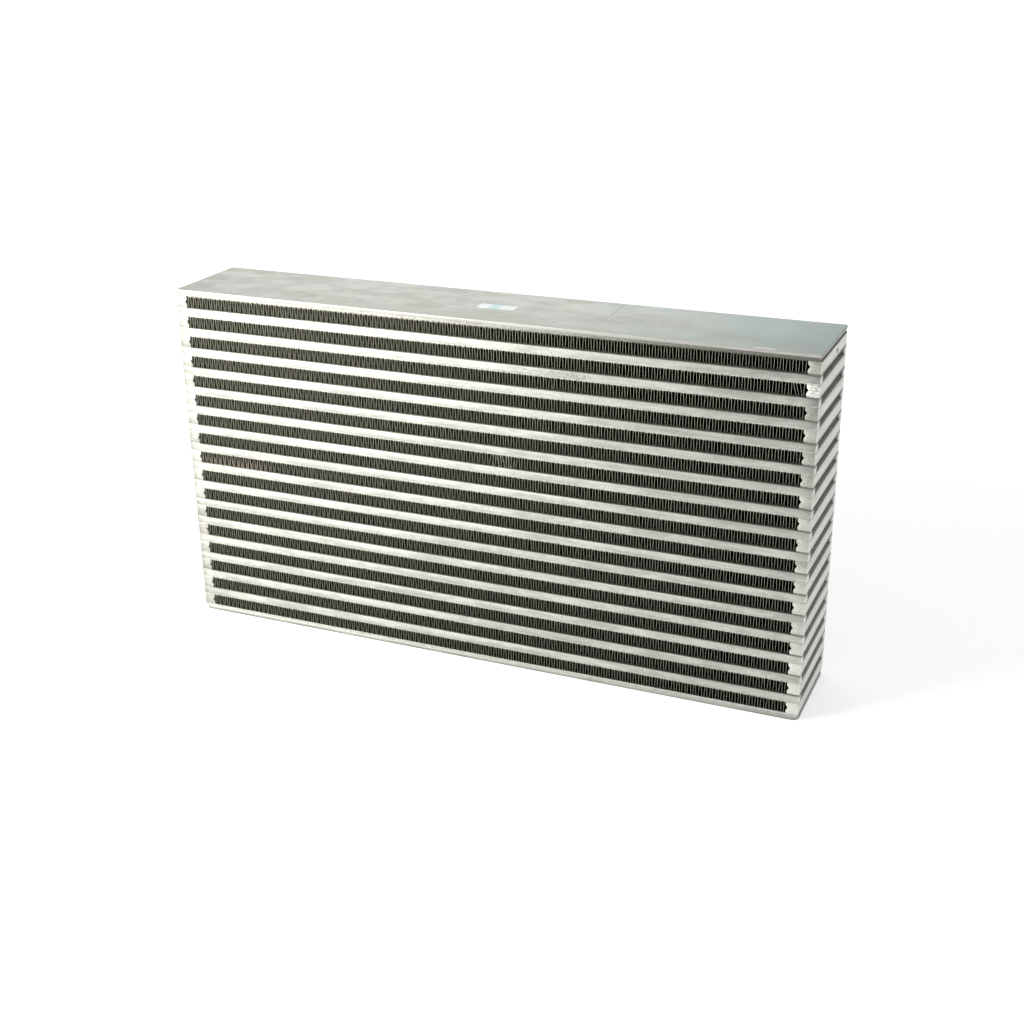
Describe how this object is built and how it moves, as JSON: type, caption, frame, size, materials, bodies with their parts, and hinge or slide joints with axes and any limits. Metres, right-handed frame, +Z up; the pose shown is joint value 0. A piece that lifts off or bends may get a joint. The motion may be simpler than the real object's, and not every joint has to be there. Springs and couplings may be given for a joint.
{
  "type": "intercooler core",
  "caption": "Bar-and-plate intercooler core: a flat rectangular aluminium block of stacked finned rows with bar-closed edges, without end tanks.",
  "frame": {"origin": "middle of the underside of the bottom cover, on the surface that the core stands on", "axes": "+X along the core from its left end to its right end, +Y through it from the front to the back, +Z up the stack of rows"},
  "size_m": [0.5588, 0.0888, 0.3033],
  "materials": {
    "cover_plate": "mill finish, cloudy from brazing, lightly scratched",
    "sheet": "mill finish, matt from brazing",
    "end_bar": "extruded bar with saw-cut ends",
    "long_bar": "extruded bar, satin, with fine lengthwise scratches",
    "cooling_fin": "thin rolled sheet, dull from brazing",
    "charge_fin": "thin rolled sheet, dull from brazing",
    "label": "blank white label film"
  },
  "bodies": {
    "root": {"top_cover": "cover_plate", "bottom_cover": "cover_plate", "top_side_sheet": "sheet", "bottom_side_sheet": "sheet", "lower_parting_sheets": "sheet", "upper_parting_sheets": "sheet", "left_end_bars": "end_bar", "right_end_bars": "end_bar", "cooling_fin_01": "cooling_fin", "cooling_fin_02": "cooling_fin", "cooling_fin_03": "cooling_fin", "cooling_fin_04": "cooling_fin", "cooling_fin_05": "cooling_fin", "cooling_fin_06": "cooling_fin", "cooling_fin_07": "cooling_fin", "cooling_fin_08": "cooling_fin", "cooling_fin_09": "cooling_fin", "cooling_fin_10": "cooling_fin", "cooling_fin_11": "cooling_fin", "cooling_fin_12": "cooling_fin", "cooling_fin_13": "cooling_fin", "cooling_fin_14": "cooling_fin", "cooling_fin_15": "cooling_fin", "cooling_fin_16": "cooling_fin", "cooling_fin_17": "cooling_fin", "charge_fin_01": "charge_fin", "charge_fin_02": "charge_fin", "charge_fin_03": "charge_fin", "charge_fin_04": "charge_fin", "charge_fin_05": "charge_fin", "charge_fin_06": "charge_fin", "charge_fin_07": "charge_fin", "charge_fin_08": "charge_fin", "charge_fin_09": "charge_fin", "charge_fin_10": "charge_fin", "charge_fin_11": "charge_fin", "charge_fin_12": "charge_fin", "charge_fin_13": "charge_fin", "charge_fin_14": "charge_fin", "charge_fin_15": "charge_fin", "charge_fin_16": "charge_fin", "long_bars_01": "long_bar", "long_bars_02": "long_bar", "long_bars_03": "long_bar", "long_bars_04": "long_bar", "long_bars_05": "long_bar", "long_bars_06": "long_bar", "long_bars_07": "long_bar", "long_bars_08": "long_bar", "long_bars_09": "long_bar", "long_bars_10": "long_bar", "long_bars_11": "long_bar", "long_bars_12": "long_bar", "long_bars_13": "long_bar", "long_bars_14": "long_bar", "long_bars_15": "long_bar", "long_bars_16": "long_bar", "label": "label"}
  },
  "joints": []
}
